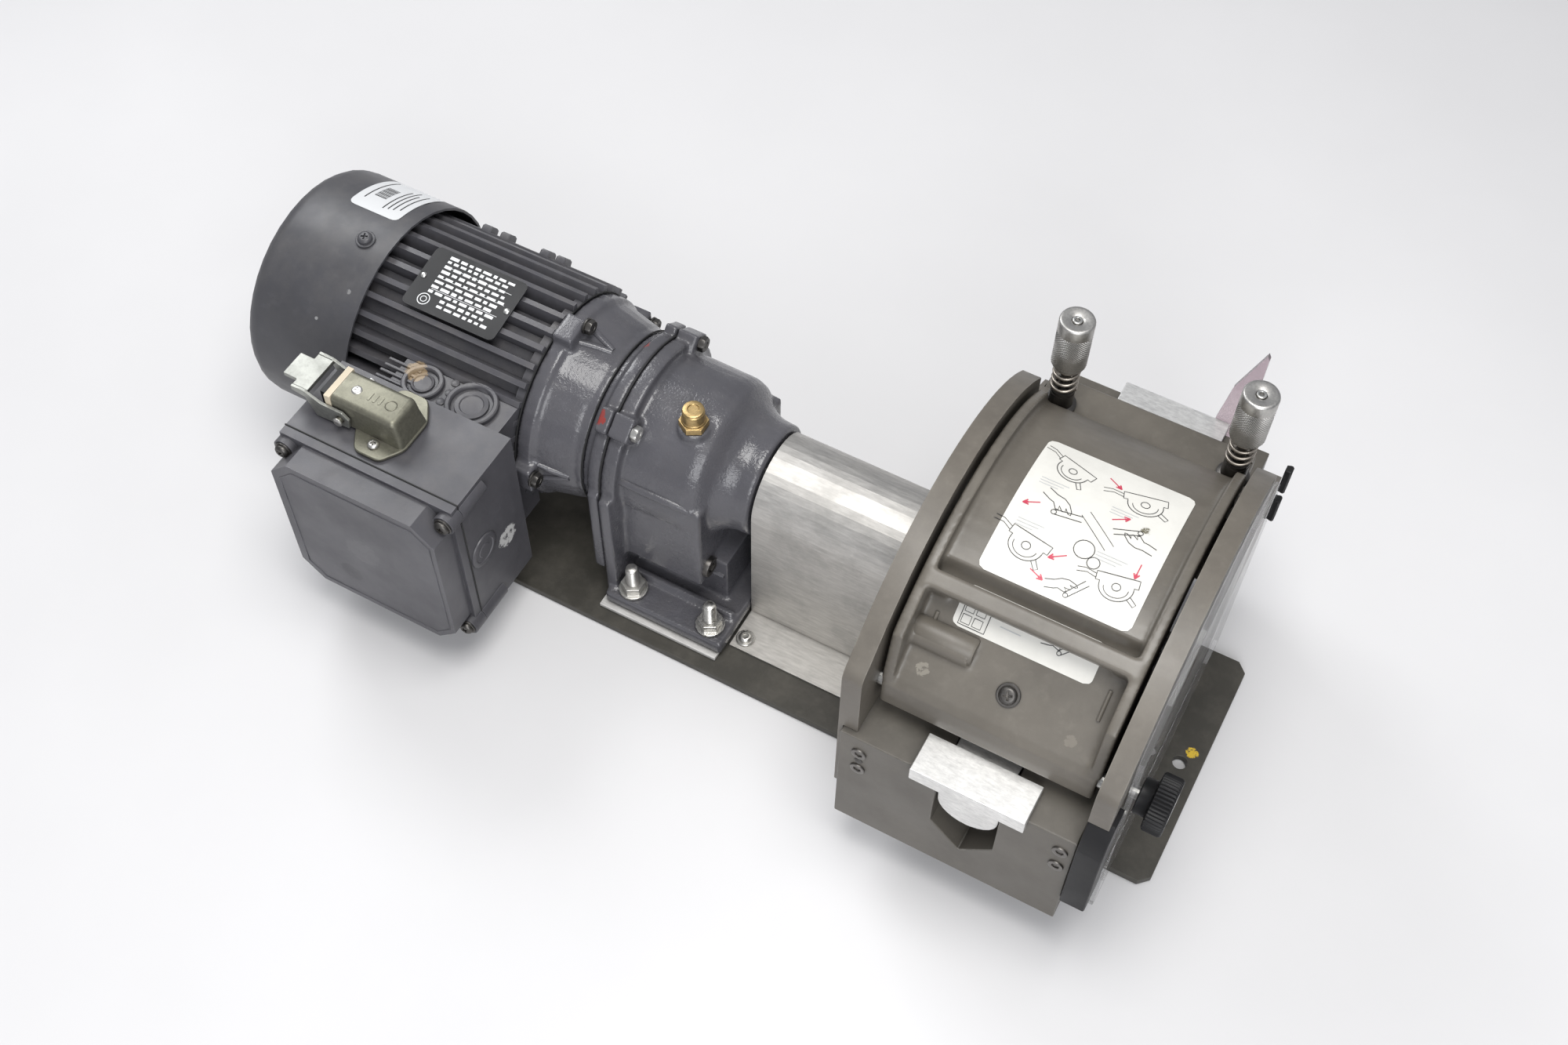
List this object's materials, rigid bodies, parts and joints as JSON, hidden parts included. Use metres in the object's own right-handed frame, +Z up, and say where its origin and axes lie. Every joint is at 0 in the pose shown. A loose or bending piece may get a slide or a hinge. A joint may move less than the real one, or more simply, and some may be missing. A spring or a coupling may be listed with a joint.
{
  "type": "hose pump with gear motor",
  "caption": "Peristaltic hose pump head driven through a guarded coupling by an in-line helical gear motor, on one long base plate",
  "frame": {"origin": "on the underside of the base plate, straight below the shaft line, a little to the motor's side of the pump head", "axes": "+X from the motor's fan cover to the pump's clear guard, +Y to the rear hose port, +Z up"},
  "size_m": [0.5995, 0.2935, 0.24],
  "materials": {
    "paint_blue_grey": "satin blue-grey paint over ribbed and cast aluminium",
    "paint_gear_case": "glossy blue-grey paint over a rough casting",
    "paint_olive": "semi-matt olive-grey paint, scuffed at the edges",
    "paint_base": "dark olive-grey powder coat",
    "bare_aluminium": "bare cast or sheet aluminium, scratched",
    "guard_sheet": "bare brushed sheet, smudged",
    "zinc_cast": "yellow passivated zinc",
    "steel": "turned or machined steel",
    "dark_steel": "blackened steel",
    "laminations": "varnished laminations",
    "brass": "dull brass",
    "black_plastic": "moulded black plastic",
    "board_plastic": "moulded brown plastic",
    "pale_plastic": "hard pale plastic rollers",
    "seal_rubber": "beige seal",
    "spider_rubber": "red elastomer",
    "clear_sheet": "clear plastic sheet",
    "plate_black": "black printed plate"
  },
  "bodies": {
    "frame": {"base_plate": "paint_base", "foot_shim_front": "bare_aluminium", "foot_shim_rear": "bare_aluminium", "foot_bolt_1": "steel", "foot_bolt_2": "steel", "foot_bolt_3": "steel", "foot_bolt_4": "steel", "output_bearing": "steel", "track_pin": "steel", "motor_housing": "paint_blue_grey", "fan_end_shield": "paint_blue_grey", "fan_cover": "paint_blue_grey", "terminal_box": "paint_blue_grey", "terminal_box_cover": "paint_blue_grey", "drive_end_shield": "paint_blue_grey", "gear_case": "paint_gear_case", "gear_case_cover": "paint_gear_case", "connector_insert": "black_plastic", "guard_catch": "black_plastic", "stator": "laminations", "nameplate": "plate_black", "terminal_block": "board_plastic", "connector_housing": "zinc_cast", "connector_seal": "seal_rubber", "vent_plug": "brass", "coupling_guard": "guard_sheet", "pump_back_plate": "paint_olive", "pump_front_plate": "paint_olive", "front_port_block": "paint_olive", "rear_port_block": "paint_olive", "rear_port_guard": "clear_sheet"},
    "motor_rotor": {"motor_shaft": "steel", "cooling_fan": "black_plastic"},
    "second_gear": {"second_shaft": "steel", "first_wheel": "steel"},
    "drive": {"output_shaft": "steel", "output_wheel": "steel", "coupling_hub_gear": "bare_aluminium", "coupling_spider": "spider_rubber", "coupling_hub_pump": "bare_aluminium", "rotor_hub": "steel"},
    "roller_a": {"roller_1": "pale_plastic"},
    "roller_b": {"roller_2": "pale_plastic"},
    "roller_c": {"roller_3": "pale_plastic"},
    "roller_d": {"roller_4": "pale_plastic"},
    "track_unit": {"track": "paint_olive", "latch_sleeve_left": "dark_steel", "latch_sleeve_right": "dark_steel", "latch_spring_left": "steel", "latch_spring_right": "steel"},
    "stem_left": {"latch_stem_left": "steel"},
    "stem_right": {"latch_stem_right": "steel"},
    "knob_left": {"latch_knob_left": "steel"},
    "knob_right": {"latch_knob_right": "steel"},
    "clamp_front": {"front_clamp": "bare_aluminium"},
    "clamp_rear": {"rear_clamp": "bare_aluminium"},
    "guard_door": {"clear_guard": "clear_sheet"},
    "fastener_stud": {"guard_stud": "steel"},
    "fastener_head": {"guard_thumbscrew": "black_plastic"},
    "plug_lever": {"connector_lever": "zinc_cast"}
  },
  "joints": [
    {"name": "drive_spin", "type": "hinge", "parent": "frame", "child": "drive", "pos_m": [0, 0, 0.102], "axis": [1, 0, 0], "continuous": true},
    {"name": "motor_spin", "type": "hinge", "parent": "frame", "child": "motor_rotor", "pos_m": [-0.3, 0, 0.102], "axis": [1, 0, 0], "continuous": true},
    {"name": "second_shaft_spin", "type": "hinge", "parent": "frame", "child": "second_gear", "pos_m": [-0.15, 0, 0.0705], "axis": [1, 0, 0], "continuous": true},
    {"name": "roller_a_spin", "type": "hinge", "parent": "drive", "child": "roller_a", "pos_m": [0.088, 0.04667, 0.14867], "axis": [1, 0, 0], "continuous": true},
    {"name": "roller_b_spin", "type": "hinge", "parent": "drive", "child": "roller_b", "pos_m": [0.088, -0.04667, 0.14867], "axis": [1, 0, 0], "continuous": true},
    {"name": "roller_c_spin", "type": "hinge", "parent": "drive", "child": "roller_c", "pos_m": [0.088, -0.04667, 0.05533], "axis": [1, 0, 0], "continuous": true},
    {"name": "roller_d_spin", "type": "hinge", "parent": "drive", "child": "roller_d", "pos_m": [0.088, 0.04667, 0.05533], "axis": [1, 0, 0], "continuous": true},
    {"name": "track_hinge", "type": "hinge", "parent": "frame", "child": "track_unit", "pos_m": [0.085, -0.11, 0.149], "axis": [1, 0, 0], "range_deg": [0, 75]},
    {"name": "latch_push_left", "type": "slide", "parent": "track_unit", "child": "stem_left", "axis": [0, 0, 1], "range_m": [-0.008, 0], "stiffness_N_per_m": 900, "deforming": ["latch_spring_left"]},
    {"name": "knob_turn_left", "type": "hinge", "parent": "stem_left", "child": "knob_left", "pos_m": [0.037, 0.077, 0.22], "axis": [0, 0, 1], "range_deg": [0, 90]},
    {"name": "latch_push_right", "type": "slide", "parent": "track_unit", "child": "stem_right", "axis": [0, 0, 1], "range_m": [-0.008, 0], "stiffness_N_per_m": 900, "deforming": ["latch_spring_right"]},
    {"name": "knob_turn_right", "type": "hinge", "parent": "stem_right", "child": "knob_right", "pos_m": [0.1365, 0.077, 0.22], "axis": [0, 0, 1], "range_deg": [0, 90]},
    {"name": "front_clamp_lift", "type": "slide", "parent": "frame", "child": "clamp_front", "axis": [0, 0, 1], "range_m": [0, 0.007]},
    {"name": "rear_clamp_lift", "type": "slide", "parent": "frame", "child": "clamp_rear", "axis": [0, 0, 1], "range_m": [0, 0.007]},
    {"name": "guard_hinge", "type": "hinge", "parent": "frame", "child": "guard_door", "pos_m": [0.1618, 0.077, 0.1], "axis": [0, 0, 1], "range_deg": [0, 110]},
    {"name": "fastener_pull", "type": "slide", "parent": "guard_door", "child": "fastener_stud", "axis": [1, 0, 0], "range_m": [0, 0.006]},
    {"name": "fastener_turn", "type": "hinge", "parent": "fastener_stud", "child": "fastener_head", "pos_m": [0.175, -0.092, 0.12], "axis": [1, 0, 0], "range_deg": [0, 90]},
    {"name": "lever_hinge", "type": "hinge", "parent": "frame", "child": "plug_lever", "pos_m": [-0.304, -0.1005, 0.158], "axis": [0, 1, 0], "range_deg": [0, 95]}
  ],
  "couplings": [
    {"joint": "second_shaft_spin", "follows": "drive_spin", "ratio": -2.5},
    {"joint": "motor_spin", "follows": "drive_spin", "ratio": 6.25}
  ]
}
